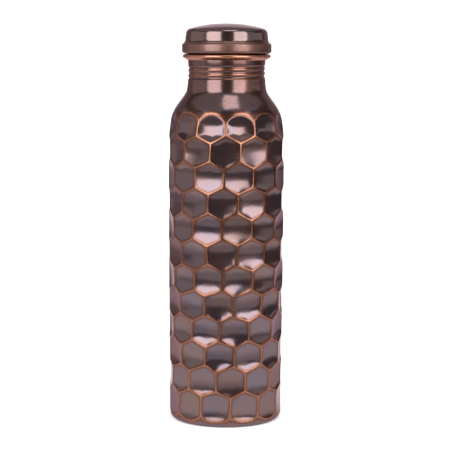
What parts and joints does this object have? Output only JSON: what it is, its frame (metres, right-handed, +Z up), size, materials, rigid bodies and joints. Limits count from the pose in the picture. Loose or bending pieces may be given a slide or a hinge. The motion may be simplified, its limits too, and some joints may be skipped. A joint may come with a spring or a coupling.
{
  "type": "copper water bottle",
  "caption": "Tall copper water bottle with a honeycomb-faceted body, a rolled grip groove on the neck, a bright neck ring and a screw cap with a gasket.",
  "frame": {"origin": "centre of the foot ring, on the plane that the bottle stands on", "axes": "+Z up along the axis of the bottle, its thread and its cap; -Y is the front of the bottle"},
  "size_m": [0.073, 0.073, 0.2507],
  "materials": {
    "antique_copper": "darkened copper, lacquered, with bright ridges",
    "cap_copper": "darkened copper, polished",
    "bright_copper": "bright copper, buffed",
    "plain_copper": "plain copper, satin",
    "silicone": "milky silicone, matt"
  },
  "bodies": {
    "bottle": {"body_shell": "antique_copper", "base_plate": "plain_copper", "neck_ring": "bright_copper", "mouth_ferrule": "plain_copper"},
    "seal": {"seal_ring": "silicone"},
    "cap": {"cap_shell": "cap_copper", "cap_liner": "plain_copper"}
  },
  "joints": [
    {"name": "cap_rise", "type": "slide", "parent": "bottle", "child": "seal", "axis": [0, 0, 1], "range_m": [0, 0.018]},
    {"name": "cap_turn", "type": "hinge", "parent": "seal", "child": "cap", "pos_m": [0, 0, 0.24], "axis": [0, 0, 1], "range_deg": [0, 1440]}
  ],
  "couplings": [
    {"joint": "cap_rise", "follows": "cap_turn", "m_per_rad": 0.0007162}
  ]
}
